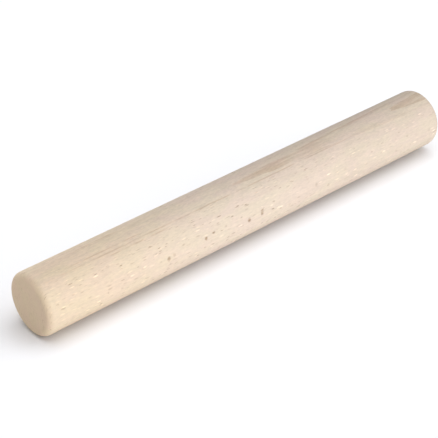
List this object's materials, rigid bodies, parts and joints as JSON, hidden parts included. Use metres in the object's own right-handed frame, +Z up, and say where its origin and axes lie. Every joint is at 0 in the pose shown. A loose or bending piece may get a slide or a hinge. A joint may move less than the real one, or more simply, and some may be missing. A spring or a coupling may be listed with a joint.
{
  "type": "rolling pin",
  "caption": "Straight handleless rolling pin: a solid beech cylinder with flat end faces and rounded end edges.",
  "frame": {"origin": "on the surface the pin lies on, under the middle of its length", "axes": "+X along the pin's axis, +Z up, +Y level and square to the axis"},
  "size_m": [0.41, 0.05, 0.05],
  "materials": {
    "beech": "bare beech, turned and finely sanded, unvarnished"
  },
  "bodies": {
    "root": {"barrel": "beech"}
  },
  "joints": []
}
